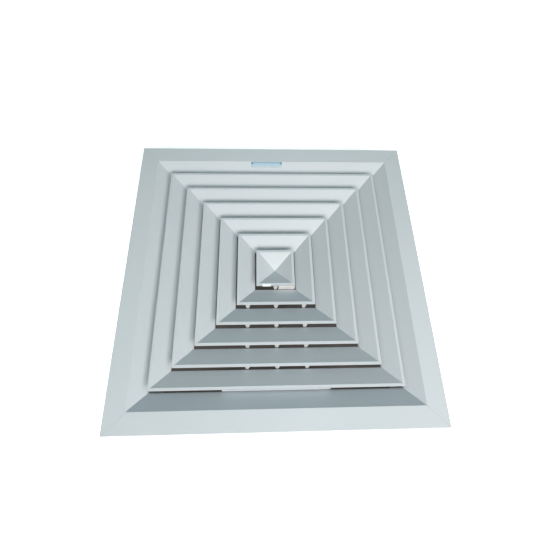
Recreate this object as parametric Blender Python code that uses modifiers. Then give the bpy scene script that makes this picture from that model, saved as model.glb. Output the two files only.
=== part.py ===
"""Square four-way ceiling air diffuser, modelled face up.

The object is a mitred aluminium frame (flange, sloping throat and duct neck) and a
removable core: five square concentric rings and a centre cone, carried on three comb
bars and held in the neck by spring leaves.

Frame of reference: metres, +Z out of the face (towards the room), +Y to the far side,
origin at the centre of the neck's open end, so the diffuser stands on its neck.
Sizes below are in mm, and heights are measured from the face plane, negative below it.
"""

import bpy
import bmesh
from math import cos, sin, tan, atan2, radians, hypot
from mathutils import Matrix, Vector

MM = 0.001

# ---------------------------------------------------------------------- driving sizes
FACE = 595.0              # outside of the flange, for a 600 mm ceiling grid
DEPTH = 60.0              # face plane to the end of the neck
THROAT = 522.2            # square opening inside the flat flange
NECK = 459.6              # inside of the neck, square
WALL = 1.3                # wall of the frame extrusion
RETURN = 5.0              # height of the turned-down outer edge
MITRE_GAP = 0.2           # clear width of a mitre joint

PITCH = 38.1              # step of the square lips, half size to half size
RINGS = 5                 # rings round the centre cone
LIP_DROP = 0.5            # lips lie this far below the face plane
RIM = 5.0                 # flat rim round every ring
LIP = 2.8                 # height of the vertical lip
BLADE = 1.2               # wall of the ring extrusion
BLADE_FALL = 18.4         # depth of a ring's inner edge
BLADE_OVER = 2.8          # plan gap from a ring's inner edge to the next lip
BLADE_LEG = 24.0          # depth of the ring's stiffening leg
APEX = 20.1               # depth of the centre cone's apex

HALF_FACE = FACE / 2
HALF_THROAT = THROAT / 2
HALF_NECK = NECK / 2
THROAT_RUN = HALF_THROAT - HALF_NECK
# The throat slopes like the blades; this is the depth at which it meets the neck.
THROAT_FALL = BLADE_FALL / (PITCH - RIM - BLADE_OVER) * THROAT_RUN

# ------------------------------------------------------------------------ scene reset
for old in list(bpy.data.objects):
    bpy.data.objects.remove(old, do_unlink=True)


def collection(name):
    group = bpy.data.collections.new(name)
    bpy.context.scene.collection.children.link(group)
    return group


parts = collection("ceiling_air_diffuser")
cutters = collection("cutters")


# -------------------------------------------------------------------------- materials
def material(name, colour, roughness, metallic=0.0):
    mat = bpy.data.materials.new(name)
    mat.use_nodes = True
    shader = mat.node_tree.nodes["Principled BSDF"]
    shader.inputs["Base Color"].default_value = (*colour, 1.0)
    shader.inputs["Roughness"].default_value = roughness
    shader.inputs["Metallic"].default_value = metallic
    return mat


POWDER = material("powder_coat", colour=(0.78, 0.81, 0.82), roughness=0.42)
CORE_PAINT = material("core_powder_coat", colour=(0.80, 0.83, 0.84), roughness=0.42)
MILL = material("mill_aluminium", colour=(0.62, 0.63, 0.64), roughness=0.35, metallic=1.0)
NYLON = material("white_nylon", colour=(0.86, 0.85, 0.83), roughness=0.55)
STEEL = material("spring_steel", colour=(0.45, 0.46, 0.48), roughness=0.30, metallic=1.0)
ZINC = material("zinc_key", colour=(0.55, 0.56, 0.57), roughness=0.45, metallic=1.0)
FOAM = material("foam_gasket", colour=(0.06, 0.06, 0.065), roughness=0.95)
PAPER = material("blank_label", colour=(0.70, 0.80, 0.86), roughness=0.55)

# -------------------------------------------------------------------------- placement
# A profile is drawn with its first axis away from the centre and its second up;
# this stands it on +X.
STAND = Matrix(((1, 0, 0, 0), (0, 0, -1, 0), (0, 1, 0, 0), (0, 0, 0, 1)))

# Turns about Z, in degrees, from +X to a side and from +X+Y to a corner.
SIDES = {"right": 0, "far": 90, "left": 180, "near": 270}
CORNERS = {"far_right": 0, "far_left": 90, "near_left": 180, "near_right": 270}
Y_SIGNS = {"near": -1, "far": 1}


def from_face(x=0.0, y=0.0, z=0.0):
    """World matrix of a point given in mm from the centre of the face plane."""
    return Matrix.Translation((x * MM, y * MM, (DEPTH + z) * MM))


def turn_z(degrees):
    return Matrix.Rotation(radians(degrees), 4, "Z")


def side_matrix(side):
    return from_face() @ turn_z(SIDES[side]) @ STAND


def empty(name, location=(0.0, 0.0, 0.0), parent=None):
    """Location is in metres, relative to the parent."""
    obj = bpy.data.objects.new(name, None)
    obj.empty_display_size = 0.03
    obj.location = location
    parts.objects.link(obj)
    obj.parent = parent
    return obj


def put(name, mesh, mat, parent, matrix):
    """Link a mesh as a named part; matrix is its place in the world, in metres."""
    if not mesh.materials:                    # a mesh may be shared by several parts
        mesh.materials.append(mat)
    mesh.shade_smooth()
    mesh.set_sharp_from_angle(angle=radians(30))
    obj = bpy.data.objects.new(name, mesh)
    parts.objects.link(obj)
    obj.parent = parent
    parent_origin = parent.location.copy()
    if parent.parent is not None:
        parent_origin += parent.parent.location
    obj.matrix_local = Matrix.Translation(-parent_origin) @ matrix
    return obj


def put_on_sides(prefix, mesh, mat, parent):
    for side in SIDES:
        put(prefix + side, mesh, mat, parent, side_matrix(side))


def put_in_corners(prefix, mesh, mat, z):
    for corner, degrees in CORNERS.items():
        put(prefix + corner, mesh, mat, frame_root, from_face(z=z) @ turn_z(degrees))


# -------------------------------------------------------------------- shape functions
def rounded(points):
    """Points are (x, y) or (x, y, radius); corners with a radius become short arcs."""
    outline = []
    for i, point in enumerate(points):
        if len(point) < 3 or point[2] <= 0:
            outline.append((point[0], point[1]))
            continue
        corner = Vector(point[:2])
        back = Vector(points[i - 1][:2]) - corner
        ahead = Vector(points[(i + 1) % len(points)][:2]) - corner
        back_length, ahead_length = back.length, ahead.length
        back.normalize()
        ahead.normalize()
        half_angle = back.angle(ahead) / 2
        # An arc takes less than half of either edge it joins.
        setback = min(point[2] / tan(half_angle), back_length * 0.45, ahead_length * 0.45)
        radius = setback * tan(half_angle)
        centre = corner + (back + ahead).normalized() * (radius / sin(half_angle))
        start = corner + back * setback - centre
        end = corner + ahead * setback - centre
        sweep = start.angle_signed(end)
        start_angle = atan2(start.y, start.x)
        steps = 3 if radius < 1.0 else 4
        for k in range(steps + 1):
            angle = start_angle - sweep * k / steps
            outline.append((centre.x + radius * cos(angle), centre.y + radius * sin(angle)))
    return outline


def flat_solid(name, loops, thickness):
    """A filled 2D curve with thickness, turned into one welded mesh (mm in, m out)."""
    curve = bpy.data.curves.new(name, "CURVE")
    curve.dimensions = "2D"
    curve.fill_mode = "BOTH"
    curve.extrude = thickness / 2 * MM
    for loop in loops:
        spline = curve.splines.new("POLY")
        spline.points.add(len(loop) - 1)
        for point, (x, y) in zip(spline.points, loop):
            point.co = (x * MM, y * MM, 0.0, 1.0)
        spline.use_cyclic_u = True
    outline = bpy.data.objects.new(name + "_outline", curve)
    parts.objects.link(outline)
    graph = bpy.context.evaluated_depsgraph_get()
    mesh = bpy.data.meshes.new_from_object(outline.evaluated_get(graph))
    bpy.data.objects.remove(outline, do_unlink=True)
    mesh.name = name
    build = bmesh.new()
    build.from_mesh(mesh)
    bmesh.ops.remove_doubles(build, verts=build.verts, dist=0.000002)
    bmesh.ops.recalc_face_normals(build, faces=build.faces)
    build.to_mesh(mesh)
    build.free()
    return mesh


def mitred_bar(name, profile):
    """A profile run along one side of a square, both ends cut at 45 degrees."""
    mesh = flat_solid(name, [rounded(profile)], 20.0)     # the ends are moved below
    setback = MITRE_GAP / 2 * 2 ** 0.5 * MM
    for vert in mesh.vertices:
        half_run = vert.co.x - setback
        vert.co.z = half_run if vert.co.z > 0 else -half_run
    return mesh


def slope_back(outer, inner, top, low, wall):
    """Back of a sloping wall whose face runs from (outer, top) down to (inner, low).

    Returns where it meets the back of the flat above, as a distance out, and the back
    of the upright below, as a height.
    """
    run, fall = outer - inner, top - low
    length = hypot(run, fall)
    offset_out, offset_up = wall * fall / length, -wall * run / length
    slope = fall / run
    flat_end = outer + offset_out + (-wall - offset_up) / slope
    upright_top = low + offset_up + (wall - offset_out) * slope
    return flat_end, upright_top


def line_mesh(name, points):
    """An open line in the XZ plane, from (radius, height) points in mm."""
    mesh = bpy.data.meshes.new(name)
    mesh.from_pydata([(radius * MM, 0.0, height * MM) for radius, height in points],
                     [(k, k + 1) for k in range(len(points) - 1)], [])
    return mesh


def spin(obj, steps, smooth):
    """Turn a line about Z and close its poles."""
    screw = obj.modifiers.new("turn", "SCREW")
    screw.steps = screw.render_steps = steps
    screw.use_merge_vertices = True
    screw.merge_threshold = 0.00005
    screw.use_smooth_shade = smooth
    weld = obj.modifiers.new("weld", "WELD")
    weld.merge_threshold = 0.00002


def thicken(obj, name, thickness, offset):
    solidify = obj.modifiers.new(name, "SOLIDIFY")
    solidify.thickness = thickness * MM
    solidify.offset = offset
    solidify.use_even_offset = True


def drill(name, targets, x, y, z, height):
    """Cut a rivet hole, centred on the given point, through every target."""
    mesh = bpy.data.meshes.new(name)
    build = bmesh.new()
    bmesh.ops.create_cone(build, cap_ends=True, segments=20, radius1=RIVET_HOLE * MM,
                          radius2=RIVET_HOLE * MM, depth=height * MM)
    build.to_mesh(mesh)
    build.free()
    cutter = bpy.data.objects.new(name, mesh)
    cutters.objects.link(cutter)
    cutter.location = from_face(x, y, z).translation
    cutter.hide_render = True
    cutter.display_type = "WIRE"
    for target in targets:
        boolean = target.modifiers.new("cut_" + name, "BOOLEAN")
        boolean.operation = "DIFFERENCE"
        boolean.solver = "EXACT"
        boolean.object = cutter


frame_root = empty("frame_root")
core_root = empty("core_root", (0.0, 0.0, DEPTH * MM))    # on the core's sliding axis

# ------------------------------------------------------------------------------ frame
# Channel behind the flange: two hooked walls facing each other.
CHANNEL_IN, CHANNEL_OUT = 268.0, 288.0      # outsides of the two walls
CHANNEL_WALL = 1.0
HOOK_REACH = 3.0                            # hook, from the outside of its wall
HOOK_TOP, HOOK_LOW = -4.2, -5.2

KEY_PLAY = 0.4                              # each side of a key's arm in the channel
KEY_ARM_END = 226.0
KEY_T = 2.2

ANGLE_TOP, ANGLE_HIGH = -20.6, 36.6         # neck corner angles, top edge and height
ANGLE_GAP = 0.3                             # clearance to the neck
ANGLE_LEG, ANGLE_T = 24.0, 1.2

GASKET_T = 4.4
GASKET_GAP = 0.3                            # clearance behind the flange
GASKET_OUT_GAP, GASKET_IN_GAP = 0.6, 0.9    # clearance to the turned edge and channel

LABEL_W, LABEL_H, LABEL_T = 70.0, 13.0, 0.24
LABEL_X = -14.5
LABEL_DOWN = 1.1                            # top of the throat to the label's upper edge
LABEL_GAP = 0.3                             # clearance between throat and label


def frame_sides():
    flange_end, neck_top = slope_back(HALF_THROAT, HALF_NECK, 0.0, -THROAT_FALL, WALL)
    wall_in, wall_out = CHANNEL_IN + CHANNEL_WALL, CHANNEL_OUT - CHANNEL_WALL
    hook_in, hook_out = CHANNEL_IN + HOOK_REACH, CHANNEL_OUT - HOOK_REACH
    profile = [                               # (out, height, corner radius)
        (HALF_FACE, -RETURN, 0.3), (HALF_FACE, 0.0, 0.9),
        (HALF_THROAT, 0.0, 0.9), (HALF_NECK, -THROAT_FALL, 1.2),
        (HALF_NECK, -DEPTH, 0.3), (HALF_NECK + WALL, -DEPTH, 0.3),
        (HALF_NECK + WALL, neck_top, 2.0), (flange_end, -WALL, 1.5),
        (CHANNEL_IN, -WALL), (CHANNEL_IN, HOOK_LOW), (hook_in, HOOK_LOW),
        (hook_in, HOOK_TOP), (wall_in, HOOK_TOP), (wall_in, -WALL),
        (wall_out, -WALL), (wall_out, HOOK_TOP), (hook_out, HOOK_TOP),
        (hook_out, HOOK_LOW), (CHANNEL_OUT, HOOK_LOW), (CHANNEL_OUT, -WALL),
        (HALF_FACE - WALL, -WALL), (HALF_FACE - WALL, -RETURN, 0.3),
    ]
    put_on_sides("frame_side_", mitred_bar("frame_side", profile), POWDER, frame_root)


def corner_keys():
    """Keys that slide in the channel behind the flange and tie two sides together."""
    outer = CHANNEL_OUT - CHANNEL_WALL - KEY_PLAY
    inner = CHANNEL_IN + CHANNEL_WALL + KEY_PLAY
    loop = [(outer, outer, 2.0), (KEY_ARM_END, outer, 1.5), (KEY_ARM_END, inner, 1.5),
            (inner, inner), (inner, KEY_ARM_END, 1.5), (outer, KEY_ARM_END, 1.5)]
    mesh = flat_solid("corner_key", [rounded(loop)], KEY_T)
    put_in_corners("corner_key_", mesh, ZINC, (HOOK_TOP - WALL) / 2)


def neck_corner_angles():
    """Angles inside the neck's corners, outside the core."""
    outer = HALF_NECK - ANGLE_GAP
    inner = outer - ANGLE_T
    end = outer - ANGLE_LEG
    loop = [(outer, outer, 0.4), (end, outer), (end, inner),
            (inner, inner, 0.8), (inner, end), (outer, end)]
    mesh = flat_solid("neck_angle", [rounded(loop)], ANGLE_HIGH)
    put_in_corners("neck_corner_angle_", mesh, MILL, ANGLE_TOP - ANGLE_HIGH / 2)


def rectangle(half_x, half_y, radius=0.0):
    return rounded([(half_x, half_y, radius), (-half_x, half_y, radius),
                    (-half_x, -half_y, radius), (half_x, -half_y, radius)])


def flange_gasket():
    """Foam behind the flange, one closed loop proud of the turned edge."""
    outer = HALF_FACE - WALL - GASKET_OUT_GAP
    inner = CHANNEL_OUT + GASKET_IN_GAP
    mesh = flat_solid("gasket", [rectangle(outer, outer, 1.0), rectangle(inner, inner)],
                      GASKET_T)
    put("flange_gasket", mesh, FOAM, frame_root,
        from_face(z=-(WALL + GASKET_GAP + GASKET_T / 2)))


def throat_label():
    """Blank label on the far side of the throat, laid parallel to the slope."""
    mesh = flat_solid("label", [rectangle(LABEL_W / 2, LABEL_H / 2, 1.0)], LABEL_T)
    tilt = atan2(THROAT_FALL, THROAT_RUN)
    down = LABEL_DOWN + LABEL_H / 2           # along the slope, to the label's centre
    lift = LABEL_GAP + LABEL_T / 2            # square to the slope
    y = HALF_THROAT - down * cos(tilt) - lift * sin(tilt)
    z = -down * sin(tilt) + lift * cos(tilt)
    put("throat_label", mesh, PAPER, frame_root,
        from_face(LABEL_X, y, z) @ Matrix.Rotation(tilt, 4, "X"))


frame_sides()
corner_keys()
neck_corner_angles()
flange_gasket()
throat_label()


# --------------------------------------------------------------- core rings and cone
def blade_profile(lip, inner):
    """Ring section: vertical lip, flat rim, slope down to the inner edge, short leg."""
    top, low = -LIP_DROP, -BLADE_FALL
    rim = lip - RIM
    rim_end, leg_top = slope_back(rim, inner, top, low, BLADE)
    return [                                  # (out, height, corner radius)
        (lip, top - LIP, 0.3), (lip, top, 0.7), (rim, top, 0.6), (inner, low, 1.0),
        (inner, -BLADE_LEG, 0.3), (inner + BLADE, -BLADE_LEG, 0.3),
        (inner + BLADE, leg_top, 1.2), (rim_end, top - BLADE, 0.9),
        (lip - BLADE, top - BLADE), (lip - BLADE, top - LIP, 0.3),
    ]


def core_rings():
    """Rings are numbered from the outermost inwards."""
    for ring in range(1, RINGS + 1):
        lip = PITCH * (RINGS + 2 - ring)
        profile = blade_profile(lip, lip - PITCH + BLADE_OVER)
        mesh = mitred_bar(f"ring_{ring}_blade", profile)
        put_on_sides(f"ring_{ring}_", mesh, CORE_PAINT, core_root)


def centre_cone():
    """Its corner line, turned in four steps, then given its wall."""
    diagonal = 2 ** 0.5
    line = [(0.0, -APEX), ((PITCH - RIM) * diagonal, -LIP_DROP),
            (PITCH * diagonal, -LIP_DROP), (PITCH * diagonal, -LIP_DROP - LIP)]
    cone = put("centre_cone", line_mesh("centre_cone", line), CORE_PAINT, core_root,
               from_face() @ turn_z(45))
    spin(cone, steps=4, smooth=False)
    thicken(cone, "wall", BLADE, offset=-1.0)


# Packing pieces on the near side of the cone.
PACK_FACE = PITCH + 0.35                      # inner face, clear of the cone's lip
FOLD_END = PITCH - 3.4                        # inner end of the fold over the lip
FOLD_T = 0.5                                  # its upright leg
FOLD_TOP, FOLD_UNDER, FOLD_LOW = -0.06, -0.28, -4.4
WEDGE_TOP, WEDGE_LOW = -1.6, -22.4
WEDGE_TOP_T, WEDGE_LOW_T = 1.7, 1.3


def cone_packing(tag, outline, x_start, x_end):
    mesh = flat_solid("cone_packing_" + tag, [rounded(outline)], x_end - x_start)
    middle = Matrix.Translation(((x_start + x_end) / 2 * MM, 0, 0))
    put("cone_packing_" + tag, mesh, NYLON, core_root, middle @ side_matrix("near"))


def cone_packings():
    """A thin piece folded over the lip on the left, a thick one in the gap on the right."""
    fold = [(FOLD_END, FOLD_UNDER), (PACK_FACE, FOLD_UNDER), (PACK_FACE, FOLD_LOW),
            (PACK_FACE + FOLD_T, FOLD_LOW, 0.2), (PACK_FACE + FOLD_T, FOLD_TOP, 0.2),
            (FOLD_END, FOLD_TOP)]
    wedge = [(PACK_FACE, WEDGE_TOP, 0.2), (PACK_FACE, WEDGE_LOW),
             (PACK_FACE + WEDGE_LOW_T, WEDGE_LOW), (PACK_FACE + WEDGE_TOP_T, WEDGE_TOP, 0.5)]
    cone_packing("left", fold, x_start=-26.5, x_end=-9.5)
    cone_packing("right", wedge, x_start=5.8, x_end=38.0)


core_rings()
centre_cone()
cone_packings()

# --------------------------------------------------------------- comb bars and strips
BAR_X = {"left": -55.0, "centre": 0.0, "right": 55.0}
BAR_W = 4.6
BAR_TOP, BAR_LOW = -24.4, -27.4
BAR_END = 228.2
FINGER_T = 1.5
FINGER_GAP = 0.3          # clearance between a finger and the lip outside it
FINGER_TOP = -2.1
FINGER_ROOT = 0.3         # how much a finger thickens towards the bar, each face
FLARE_TOP, FLARE_LOW = -12.0, -20.0   # a finger is wide above the first, narrow below the second
FLARE = 1.8               # width of the wide part over BAR_W
GUSSET_TOP = -8.0         # below this a finger's outer face leans out towards the next ring
GUSSET = BLADE + FINGER_GAP + BLADE_OVER - 0.4    # how far it leans out at the bar

STRIP_LEN = 192.0
STRIP_SHIFT = 3.0         # off the middle: towards +X on the far side, -X on the near
STRIP_T = 0.8
STRIP_IN = 228.75         # inner face of the strip's upright leg
STRIP_TOP = -0.5          # top of the near strip
STRIP_LEG = 212.0         # inner edge of the strip's foot
STRIP_FLANGE = 2.0        # reach of the near strip's flange over the neck gap
FOOT_TOP = BAR_LOW - 0.3
FOOT_LOW = FOOT_TOP - 0.9

RIVET_R, RIVET_HOLE, RIVET_HEAD = 1.6, 1.9, 2.8   # radii
BAR_RIVET_Y = 219.0


def comb_bar(name, x):
    """A strip on the flat with one upright finger behind every lip it crosses."""
    lips = [PITCH * k for k in range(1, RINGS + 2) if PITCH * k > abs(x) + BAR_W]
    half_top = []
    for lip in lips:
        inner = lip - BLADE - FINGER_GAP - FINGER_T
        outer = inner + FINGER_T
        # The outermost fingers stand against the latch strip, so they have no gusset.
        lean = GUSSET if lip < lips[-1] else FINGER_ROOT
        half_top += [(inner - FINGER_ROOT, BAR_TOP), (inner, FLARE_LOW), (inner, FLARE_TOP),
                     (inner, FINGER_TOP), (outer, FINGER_TOP)]
        half_top += [(outer + lean * (GUSSET_TOP - height) / (GUSSET_TOP - BAR_TOP), height)
                     for height in (GUSSET_TOP, FLARE_TOP, FLARE_LOW, BAR_TOP)]
    mirrored = [(-out, height) for out, height in reversed(half_top)]
    loop = ([(-BAR_END, BAR_LOW), (-BAR_END, BAR_TOP)] + mirrored + half_top
            + [(BAR_END, BAR_TOP), (BAR_END, BAR_LOW)])
    mesh = flat_solid(name, [loop], BAR_W)
    for vert in mesh.vertices:                # fingers flare towards the lip
        if vert.co.y > (FLARE_TOP - 0.1) * MM:
            vert.co.z *= FLARE
    return put(name, mesh, CORE_PAINT, core_root,
               Matrix.Translation((x * MM, 0, 0)) @ side_matrix("far"))


def latch_strips():
    """Angles under the bar ends; the near one also has a flange along its top."""
    outer = STRIP_IN + STRIP_T
    flange = STRIP_IN + STRIP_FLANGE
    foot = [(outer, FOOT_LOW, 0.5), (STRIP_LEG, FOOT_LOW), (STRIP_LEG, FOOT_TOP),
            (STRIP_IN, FOOT_TOP)]
    tops = {
        "near": [(STRIP_IN, STRIP_TOP), (flange, STRIP_TOP, 0.25),
                 (flange, STRIP_TOP - STRIP_T, 0.2), (outer, STRIP_TOP - STRIP_T)],
        "far": [(STRIP_IN, FINGER_TOP), (outer, FINGER_TOP)],
    }
    shift = Matrix.Translation((0, 0, STRIP_SHIFT * MM))
    made = {}
    for side, top in tops.items():
        name = "latch_strip_" + side
        mesh = flat_solid(name, [rounded(top + foot)], STRIP_LEN)
        made[side] = put(name, mesh, CORE_PAINT, core_root, side_matrix(side) @ shift)
    return made


def rivet(name, x, y, top, low, dome):
    """Domed head above, upset head below, with the shank between."""
    line = [                                  # (radius, height), top to bottom
        (0.0, top + dome), (RIVET_HEAD * 0.45, top + dome * 0.9),
        (RIVET_HEAD * 0.8, top + dome * 0.55), (RIVET_HEAD, top),
        (RIVET_R, top), (RIVET_R, low),
        (RIVET_HEAD, low), (RIVET_HEAD * 0.8, low - dome * 0.6),
        (RIVET_HEAD * 0.45, low - dome * 0.9), (0.0, low - dome),
    ]
    obj = put(name, line_mesh(name, line), MILL, core_root, from_face(x, y))
    spin(obj, steps=16, smooth=True)


def bar_rivets():
    for side, sign in Y_SIGNS.items():
        for tag, x in BAR_X.items():
            y = sign * BAR_RIVET_Y
            drill(f"hole_{side}_{tag}", (bars[tag], strips[side]), x, y, BAR_LOW, height=12.0)
            rivet(f"bar_rivet_{side}_{tag}", x, y, BAR_TOP + 0.3, FOOT_LOW - 0.3, dome=1.1)


bars = {tag: comb_bar("support_bar_" + tag, x) for tag, x in BAR_X.items()}
strips = latch_strips()
bar_rivets()

# --------------------------------------------------------------------- spring leaves
SPRING_X = {"left": -27.5, "right": 27.5}
SPRING_W = 30.0
SPRING_T = 0.5
SPRING_REACH = 229.3      # outermost point of a spring leaf
SPRING_RIVET_Y = 221.0
TAB_END = 226.0           # outer end of the flat tab
TAB_HEIGHT = FOOT_LOW - 0.5 - SPRING_T / 2
BEND = 215.6              # inner end of the tab, where the leaf turns back outwards
PIVOT = BEND + 0.6


def leaf_path(reach):
    """Centre line of a leaf as (out, height) points; reach is its unrounded outer corner."""
    points = [(TAB_END, TAB_HEIGHT), (BEND, TAB_HEIGHT, 1.6), (reach, -46.0, 4.0),
              (223.0, -54.0)]
    path = [points[0]]
    for i in (1, 2):
        arc = rounded([points[i - 1][:2], points[i], points[i + 1][:2]])[1:-1]
        path += arc
    return path + [points[3]]


def fitted_leaf():
    """Move the outer corner until the rounded leaf just touches SPRING_REACH."""
    reach = 230.0
    for _ in range(4):
        reach += (SPRING_REACH - SPRING_T / 2) - max(out for out, _height in leaf_path(reach))
    return leaf_path(reach)


def leaf_mesh(path, sign):
    """The path swept along X, with the pivot at its origin."""
    build = bmesh.new()
    row = [build.verts.new((-SPRING_W / 2 * MM, sign * (out - PIVOT) * MM,
                            (height - TAB_HEIGHT) * MM)) for out, height in path]
    edges = [build.edges.new(pair) for pair in zip(row, row[1:])]
    grown = bmesh.ops.extrude_edge_only(build, edges=edges)["geom"]
    bmesh.ops.translate(build, vec=(SPRING_W * MM, 0, 0),
                        verts=[item for item in grown if isinstance(item, bmesh.types.BMVert)])
    bmesh.ops.recalc_face_normals(build, faces=build.faces)
    mesh = bpy.data.meshes.new("spring_leaf")
    build.to_mesh(mesh)
    build.free()
    return mesh


def spring(side, sign, tag, x, path):
    """A leaf on its pivot, with the rivet that holds it to the strip's foot."""
    pivot = empty(f"spring_pivot_{side}_{tag}",
                  (x * MM, sign * PIVOT * MM, TAB_HEIGHT * MM), core_root)
    leaf = put(f"spring_leaf_{side}_{tag}", leaf_mesh(path, sign), STEEL, pivot,
               from_face(x, sign * PIVOT, TAB_HEIGHT))
    thicken(leaf, "gauge", SPRING_T, offset=0.0)
    y = sign * SPRING_RIVET_Y
    drill(f"hole_spring_{side}_{tag}", (leaf, strips[side]), x, y, FOOT_LOW - 0.2, height=4.0)
    rivet(f"spring_rivet_{side}_{tag}", x, y,
          FOOT_TOP + 0.3, TAB_HEIGHT - SPRING_T / 2 - 0.9, dome=1.0)


def springs():
    path = fitted_leaf()
    for side, sign in Y_SIGNS.items():
        for tag, x in SPRING_X.items():
            spring(side, sign, tag, x, path)


springs()
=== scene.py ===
"""Looks for a square ceiling air diffuser: finishes, floor, lights and camera.

The diffuser lies centred on the origin with its face up. The near side is -Y, the right is +X.
Metres throughout.
"""
import math
from fnmatch import fnmatchcase

import bmesh
import bpy
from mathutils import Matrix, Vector

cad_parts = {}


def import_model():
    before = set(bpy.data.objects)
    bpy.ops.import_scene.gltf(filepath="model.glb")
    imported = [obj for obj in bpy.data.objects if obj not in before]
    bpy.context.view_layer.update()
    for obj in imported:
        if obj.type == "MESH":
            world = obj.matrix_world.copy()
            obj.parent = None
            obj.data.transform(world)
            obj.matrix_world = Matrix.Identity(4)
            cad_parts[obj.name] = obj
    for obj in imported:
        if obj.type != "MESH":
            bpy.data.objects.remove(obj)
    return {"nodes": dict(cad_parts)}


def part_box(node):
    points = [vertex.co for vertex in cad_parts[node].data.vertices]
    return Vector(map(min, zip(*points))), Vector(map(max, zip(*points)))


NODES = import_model()["nodes"]
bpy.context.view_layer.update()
scene = bpy.context.scene

FACE_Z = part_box("frame_side_near")[1].z

# Floor sheets: half the side, and height
FLOOR_HALF = 6.0
FLOOR_Z = -0.0005
NECK_FLOOR_HALF = 0.2297
NECK_FLOOR_Z = 0.0003

# Camera
CAMERA_PLACE = (-0.0391, -0.3053, FACE_Z + 0.7695)
CAMERA_DEGREES = (27.310, -2.529, -1.355)
CAMERA_SENSOR_MM = 36.0
CAMERA_LENS_MM = 26.293
CAMERA_SHIFT = (0.00638, -0.0946)
CAMERA_CLIP_START = 0.02

# Lights stand around this point; the gain scales them all together
LIGHT_TARGET = (0, 0, 0.05)
LIGHT_GAIN = 1.35


# ------------------------------------------------------------------ node helpers
class Graph:
    """One material and short ways to build its nodes. Methods return output sockets."""

    def __init__(self, name):
        self.material = bpy.data.materials.new(name)
        self.material.use_nodes = True
        self.tree = self.material.node_tree
        self.coords = self.node("TexCoord").outputs["Object"]

    def feed(self, socket, value):
        """Set a plain value, or link an output socket."""
        if isinstance(value, (int, float, tuple)):
            socket.default_value = value
        else:
            self.tree.links.new(value, socket)

    def node(self, kind, inputs=None, **settings):
        made = self.tree.nodes.new("ShaderNode" + kind)
        for key, value in settings.items():
            setattr(made, key, value)
        for key, value in (inputs or {}).items():
            self.feed(made.inputs[key], value)
        return made

    def surface(self, values):
        """Feed the Principled inputs and return the finished material."""
        bsdf = self.tree.nodes["Principled BSDF"]
        for key, value in values.items():
            self.feed(bsdf.inputs[key], value)
        return self.material

    def stretched(self, scale):
        return self.node("Mapping", {"Vector": self.coords, "Scale": scale}).outputs["Vector"]

    def noise(self, scale, detail=2.0, rough=0.5, vector=None, distortion=0.0):
        return self.node("TexNoise", {
            "Vector": vector or self.coords,
            "Scale": scale,
            "Detail": detail,
            "Roughness": rough,
            "Distortion": distortion,
        }).outputs["Fac"]

    def cells(self, scale):
        made = self.node("TexVoronoi", {"Scale": scale, "Vector": self.coords})
        return made.outputs["Distance"]

    def span(self, value, between, to=(0.0, 1.0)):
        """Map one range onto another, clamped at both ends."""
        return self.node("MapRange", {
            "Value": value,
            "From Min": between[0],
            "From Max": between[1],
            "To Min": to[0],
            "To Max": to[1],
        }).outputs["Result"]

    def split(self, vector):
        """The x, y and z of a vector."""
        return self.node("SeparateXYZ", {0: vector}).outputs

    def math(self, operation, a, b=0.0):
        return self.node("Math", {0: a, 1: b}, operation=operation).outputs[0]

    def times(self, a, b):
        return self.math("MULTIPLY", a, b)

    def off_centre(self, value, centre):
        """Distance of a value from a centre, always positive."""
        return self.math("ABSOLUTE", self.math("SUBTRACT", value, centre))

    def radius(self):
        """Distance from the vertical axis."""
        x, y, _z = self.split(self.coords)
        return self.math("SQRT", self.math("ADD", self.times(x, x), self.times(y, y)))

    def mix(self, mask, under, over, amount=None):
        """Lay one colour over another where the mask is 1, weakened by amount."""
        if amount is not None:
            mask = self.times(mask, amount)
        under, over = [(*c, 1) if isinstance(c, tuple) else c for c in (under, over)]
        return self.node("Mix", {0: mask, 6: under, 7: over}, data_type="RGBA").outputs[2]

    def bump(self, height, distance, strength, normal=None):
        inputs = {"Strength": strength, "Distance": distance, "Height": height}
        if normal is not None:
            inputs["Normal"] = normal
        return self.node("Bump", inputs).outputs["Normal"]

    def edges(self, radius):
        """1 on convex and concave edges, 0 on flats, from a rounded normal."""
        bevel = self.node("Bevel", {"Radius": radius}, samples=6)
        flat = self.node("NewGeometry")
        dot = self.node("VectorMath", {0: bevel.outputs["Normal"], 1: flat.outputs["Normal"]},
                        operation="DOT_PRODUCT")
        return self.span(dot.outputs["Value"], between=(0.70, 0.97), to=(1.0, 0.0))

    def occlusion(self, distance):
        return self.node("AmbientOcclusion", {"Distance": distance}, samples=6).outputs["AO"]


def shade(tint, gains):
    """A tint with each channel multiplied by its gain."""
    return tuple(channel * gain for channel, gain in zip(tint, gains))


# ---------------------------------------------------------------------- finishes
def near_slope_painted_shade(mat, outer, inner, strength):
    """Mask for painted shade on near-side slopes that face the far side, between outer and inner
    y.

    strength holds the values at outer and at inner.
    """
    y = mat.split(mat.coords)[1]
    painted_shade = mat.times(mat.span(y, between=(outer - 0.0029, outer + 0.0003)),
                     mat.span(y, between=(inner - 0.005, inner), to=(1.0, 0.0)))
    facing = mat.split(mat.node("NewGeometry").outputs["Normal"])[1]
    painted_shade = mat.times(painted_shade, mat.span(facing, between=(0.25, 0.45)))
    return mat.times(painted_shade, mat.span(y, between=(outer, inner), to=strength))


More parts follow.
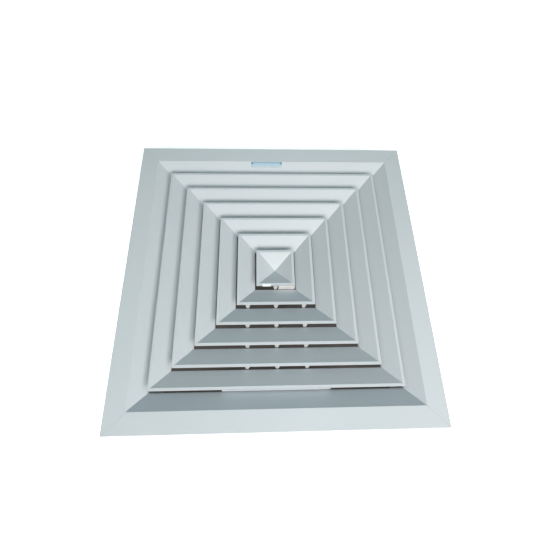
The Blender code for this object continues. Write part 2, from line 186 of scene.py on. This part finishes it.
def powder(name, tint, rough, outer, inner, painted_shade):
    """Satin powder coat: orange peel, speckle, clouding, painted highlight on edges, painted
    shade in creases and painted shade on near-side slopes.
    """
    mat = Graph(name)
    cloud = mat.span(mat.noise(scale=5.0, detail=3.0, rough=0.55), between=(0.35, 0.65))
    colour = mat.mix(cloud, shade(tint, (0.975, 0.985, 0.985)), shade(tint, (1.015, 1.01, 1.01)))
    speck = mat.span(mat.noise(scale=2600.0, detail=1.0), between=(0.55, 0.75))
    colour = mat.mix(speck, colour, shade(tint, (0.86, 0.88, 0.89)), amount=0.10)
    smudge = mat.noise(scale=22.0, detail=4.0, rough=0.6, distortion=0.6)
    smudge = mat.span(smudge, between=(0.56, 0.78))
    colour = mat.mix(smudge, colour, shade(tint, (0.88, 0.87, 0.84)), amount=0.07)
    # Painted shade: darker and bluer where ambient occlusion finds nearby surfaces, in creases,
    # corners and under lips.
    crease_painted_shade = mat.span(mat.occlusion(distance=0.012), between=(0.25, 0.85), to=(1.0, 0.0))
    colour = mat.mix(crease_painted_shade, colour, shade(tint, (0.72, 0.76, 0.77)), amount=0.22)
    # Painted shade: a grey-blue darkening of the near-side slopes that face the far side,
    # standing in for the shade they get.
    near_painted_shade_mask = near_slope_painted_shade(mat, outer, inner, painted_shade)
    patchy = mat.span(mat.noise(scale=9.0, detail=3.0), between=(0.3, 0.7), to=(0.85, 1.15))
    colour = mat.mix(near_painted_shade_mask, colour, shade(tint, (0.45, 0.57, 0.68)), amount=patchy)
    # Painted highlight: convex and concave edges lightened, standing in for the light that
    # catches them.
    edge_painted_highlight = mat.edges(radius=0.0007)
    colour = mat.mix(edge_painted_highlight, colour, shade(tint, (1.15, 1.12, 1.11)), amount=0.45)
    peel = mat.noise(scale=520.0, rough=0.45)
    fine = mat.noise(scale=2200.0)
    grain_rough = mat.span(fine, between=(0.3, 0.7), to=(rough - 0.05, rough + 0.05))
    normal = mat.bump(peel, distance=0.00006, strength=0.9)
    return mat.surface({
        "Base Color": colour,
        "Roughness": mat.math("ADD", grain_rough, mat.times(smudge, 0.10)),
        "Normal": mat.bump(fine, distance=0.000012, strength=0.8, normal=normal),
        "Specular IOR Level": 0.28,
        "Coat Weight": 0.03,
        "Coat Roughness": 0.25,
    })


def metal(name, tint, rough, grain, scale, spangle=0.0):
    """Bare metal with drawn grain, dull patches, painted highlight on edges and optional spangle.

    grain scales the noise along x, y and z: a low value draws it out along that axis.
    """
    mat = Graph(name)
    drawn = mat.noise(scale=scale, detail=1.0, vector=mat.stretched(grain))
    patch = mat.noise(scale=40.0, detail=4.0, rough=0.6)
    colour = mat.mix(mat.span(drawn, between=(0.3, 0.7)),
                     shade(tint, (0.90, 0.90, 0.91)), shade(tint, (1.05, 1.05, 1.05)))
    colour = mat.mix(mat.span(patch, between=(0.5, 0.75)),
                     colour, shade(tint, (0.72, 0.72, 0.73)), amount=0.35)
    if spangle:
        flakes = mat.span(mat.cells(scale=220.0), between=(0.0, 0.6))
        colour = mat.mix(flakes, colour, shade(tint, (1.25, 1.25, 1.27)), amount=spangle)
    # Painted highlight: edges lightened, standing in for the light that catches them.
    edge_painted_highlight = mat.edges(radius=0.0005)
    colour = mat.mix(edge_painted_highlight, colour, shade(tint, (1.3, 1.3, 1.3)), amount=0.4)
    return mat.surface({
        "Base Color": colour,
        "Metallic": 0.85,
        "Roughness": mat.span(drawn, between=(0.3, 0.7), to=(rough - 0.03, rough + 0.05)),
        "Normal": mat.bump(drawn, distance=0.000006, strength=0.5),
    })


def foam(name):
    """Closed-cell foam: small open cells in a matte black skin."""
    mat = Graph(name)
    pits = mat.span(mat.cells(scale=900.0), between=(0.05, 0.55))
    colour = mat.mix(pits, (0.018, 0.018, 0.02), (0.075, 0.075, 0.08))
    pale = mat.span(mat.noise(scale=60.0, detail=3.0), between=(0.45, 0.7))
    return mat.surface({
        "Base Color": mat.mix(pale, colour, (0.11, 0.11, 0.115), amount=0.4),
        "Roughness": mat.span(pits, between=(0.0, 1.0), to=(0.98, 0.86)),
        "Normal": mat.bump(pits, distance=0.00025, strength=0.8),
    })


def label_print(name, low, high):
    """Blank paper label: blue bands towards its far edge, dark far corners, no lettering.

    low and high are the label's box; across runs 0 to 1 along y, along runs 0 to 1 along x.
    """
    mat = Graph(name)
    x, y, _z = mat.split(mat.coords)
    across = mat.span(y, between=(low.y, high.y))
    along = mat.span(x, between=(low.x, high.x))
    fibre = mat.noise(scale=700.0, detail=3.0, rough=0.6)
    wobble = mat.times(mat.math("SUBTRACT", mat.noise(scale=160.0), 0.5), 0.10)
    colour = mat.mix(mat.span(fibre, between=(0.3, 0.7)), (0.35, 0.41, 0.44), (0.41, 0.465, 0.49))
    scuff = mat.times(
        mat.span(mat.noise(scale=330.0, detail=3.0, rough=0.65), between=(0.46, 0.60)),
        mat.span(mat.off_centre(across, 0.24), between=(0.08, 0.20), to=(1.0, 0.0)))
    colour = mat.mix(scuff, colour, (0.24, 0.29, 0.325), amount=0.7)
    # Where each blue band fades in across the label, and its colour
    for fade, blue in (((0.34, 0.48), (0.28, 0.39, 0.465)),
                       ((0.74, 0.86), (0.14, 0.255, 0.325))):
        band = mat.span(mat.math("ADD", across, wobble), between=fade)
        colour = mat.mix(band, colour, blue)
    ends = mat.span(mat.off_centre(along, 0.5), between=(0.448, 0.466))
    corner = mat.times(ends, mat.span(across, between=(0.52, 0.66)))
    return mat.surface({
        "Base Color": mat.mix(corner, colour, (0.035, 0.08, 0.095), amount=0.88),
        "Roughness": mat.span(fibre, between=(0.3, 0.7), to=(0.42, 0.60)),
        "Normal": mat.bump(fibre, distance=0.00003, strength=0.6),
    })


def nylon(name):
    """Off-white moulded plastic with a soft, slightly scuffed surface."""
    mat = Graph(name)
    mottle = mat.span(mat.noise(scale=90.0, detail=3.0, rough=0.55), between=(0.35, 0.65))
    colour = mat.mix(mottle, (0.54, 0.515, 0.495), (0.61, 0.585, 0.565))
    # The thin folded piece on the left is painted whiter than the packing on the right: painted
    # light, since the left piece is lit and the packing on the right lies in shade.
    left = mat.span(mat.split(mat.coords)[0], between=(-0.006, 0.002), to=(1.0, 0.0))
    fine = mat.noise(scale=1200.0)
    return mat.surface({
        "Base Color": mat.mix(left, colour, (0.74, 0.72, 0.72)),
        "Roughness": mat.span(fine, between=(0.3, 0.7), to=(0.48, 0.62)),
        "Normal": mat.bump(fine, distance=0.00002, strength=0.6),
        "Subsurface Weight": 0.05,
        "Subsurface Radius": (0.001, 0.001, 0.001),
    })


# The last pair of numbers in each coat sets how strongly painted shade darkens its near-side
# slopes, at outer and at inner y.
FRAME_PAINT = powder("frame_powder_coat", tint=(0.452, 0.466, 0.476), rough=0.40,
                     outer=-0.2611, inner=-0.2250, painted_shade=(0.33, 0.33))
CORE_PAINT = powder("core_powder_coat", tint=(0.447, 0.460, 0.470), rough=0.40,
                    outer=-0.2290, inner=-0.0450, painted_shade=(0.06, 0.27))
MILL = metal("mill_aluminium", tint=(0.66, 0.67, 0.69), rough=0.46,
             grain=(0.15, 1.0, 1.0), scale=700.0)
STEEL = metal("spring_steel", tint=(0.50, 0.51, 0.54), rough=0.42,
              grain=(0.10, 1.0, 1.0), scale=600.0)
# Painted shade: the neck corner angles get aluminium darkened to a tint of 0.30, standing in for
# the shade inside the neck.
SHADE_DARKENED_ALUMINIUM = metal("shade_darkened_aluminium", tint=(0.30, 0.30, 0.31), rough=0.62,
             grain=(1.0, 1.0, 0.15), scale=700.0)
NYLON = nylon("white_nylon")
ZINC = metal("zinc_key", tint=(0.56, 0.57, 0.59), rough=0.48,
             grain=(1.0, 1.0, 1.0), scale=300.0, spangle=0.30)
FOAM = foam("foam_gasket")
LABEL = label_print("blank_label", *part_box("throat_label"))

# Piece name pattern and finish; the first match wins
FINISHES = (
    ("frame_side*", FRAME_PAINT),
    ("corner_key*", ZINC),
    ("neck_corner*", SHADE_DARKENED_ALUMINIUM),
    ("*rivet*", MILL),
    ("cone_packing*", NYLON),
    ("flange_gasket*", FOAM),
    ("spring_leaf*", STEEL),
    ("throat_label", LABEL),
    ("*", CORE_PAINT),
)

for name, piece in NODES.items():
    finish = next(finish for pattern, finish in FINISHES if fnmatchcase(name, pattern))
    piece.data.materials.clear()
    piece.data.materials.append(finish)


# ------------------------------------------------------------------------- stage
def sheet(name, half, height, material):
    """A flat square centred on the vertical axis."""
    mesh = bpy.data.meshes.new(name)
    bm = bmesh.new()
    bmesh.ops.create_grid(bm, x_segments=1, y_segments=1, size=half)
    bm.to_mesh(mesh)
    bm.free()
    mesh.materials.append(material)
    made = bpy.data.objects.new(name, mesh)
    scene.collection.objects.link(made)
    made.location = (0, 0, height)


def glowing_white_floor(name):
    """White floor that glows, more strongly away from the object, so it meets the backdrop with
    no horizon; the glow is painted light, and it also lights the object from below.
    """
    mat = Graph(name)
    return mat.surface({
        "Base Color": (0.85, 0.85, 0.85, 1),
        "Roughness": 0.9,
        "Emission Color": (1, 1, 1, 1),
        # Painted light: the floor glows, from 0.58 near the object up to 1.0 far out.
        "Emission Strength": mat.span(mat.radius(), between=(0.55, 2.2), to=(0.58, 1.0)),
    })


def glowing_neck_floor(name):
    """Dark streaked floor that glows faintly, brighter away from the middle: painted light in the
    shade inside the neck.
    """
    mat = Graph(name)
    grain = mat.noise(scale=14.0, detail=4.0, rough=0.6, vector=mat.stretched((1.0, 7.0, 1.0)))
    tone = mat.mix(mat.span(grain, between=(0.3, 0.7)),
                   (0.0345, 0.0320, 0.0295), (0.0570, 0.0505, 0.0450))
    return mat.surface({
        "Base Color": tone,
        "Emission Color": tone,
        "Emission Strength": mat.span(mat.radius(), between=(0.06, 0.19), to=(0.62, 0.92)),
        "Roughness": 0.8,
    })


sheet("floor", FLOOR_HALF, FLOOR_Z, glowing_white_floor("floor"))
# Dark floor inside the neck that glows faintly, painted light in its shade, seen only through the
# gaps
sheet("floor_inside_neck", NECK_FLOOR_HALF, NECK_FLOOR_Z, glowing_neck_floor("floor_inside_neck"))

# ------------------------------------------------------------------------- light
world = bpy.data.worlds.new("studio")
scene.world = world
world.use_nodes = True
backdrop = world.node_tree.nodes["Background"].inputs
backdrop["Color"].default_value = (1.0, 1.0, 1.0, 1)
# The backdrop is white where the camera sees it and gives no light of its own.
seen = world.node_tree.nodes.new("ShaderNodeLightPath")
world.node_tree.links.new(seen.outputs["Is Camera Ray"], backdrop["Strength"])


def studio_light(name, azimuth, elevation, distance, size, power, colour):
    """A soft light aimed at the target; azimuth 0 is the near side, 90 the right.

    One size makes a disk, a pair makes a panel (sideways, upwards).
    """
    light = bpy.data.lights.new(name, "AREA")
    if isinstance(size, tuple):
        light.shape = "RECTANGLE"
        light.size, light.size_y = size
    else:
        light.shape = "DISK"
        light.size = size
    light.energy = power * LIGHT_GAIN
    light.color = colour
    lamp = bpy.data.objects.new(name, light)
    scene.collection.objects.link(lamp)
    around, up = math.radians(azimuth), math.radians(elevation)
    place = (distance * math.cos(up) * math.sin(around),
             -distance * math.cos(up) * math.cos(around),
             LIGHT_TARGET[2] + distance * math.sin(up))
    lamp.location = place
    aim = Vector(LIGHT_TARGET) - Vector(place)
    lamp.rotation_euler = aim.to_track_quat("-Z", "Y").to_euler()


# Name, azimuth and elevation in degrees, distance, size, power before gain, colour
LIGHTS = (
    ("key", 18, 41, 2.3, (2.61, 1.0), 60.3, (1.0, 0.99, 0.985)),
    ("overhead", 0, 89, 1.5, 0.8, 5.6, (0.82, 1.0, 1.02)),
    ("side_right", 90, 55, 1.5, 0.8, 1.6, (0.76, 1.0, 1.08)),
    ("side_left", -90, 55, 1.5, 0.8, 1.6, (0.76, 1.0, 1.06)),
    ("back", 180, 35, 1.5, 0.8, 1.3, (0.62, 1.0, 1.0)),
)
for row in LIGHTS:
    studio_light(*row)

scene.view_settings.view_transform = "Standard"
scene.view_settings.look = "None"

# ------------------------------------------------------------------------ camera
lens = bpy.data.cameras.new("camera")
camera = bpy.data.objects.new("camera", lens)
scene.collection.objects.link(camera)
camera.location = CAMERA_PLACE
camera.rotation_euler = [math.radians(angle) for angle in CAMERA_DEGREES]
lens.sensor_width = CAMERA_SENSOR_MM
lens.lens = CAMERA_LENS_MM
lens.shift_x, lens.shift_y = CAMERA_SHIFT
lens.clip_start = CAMERA_CLIP_START
scene.camera = camera
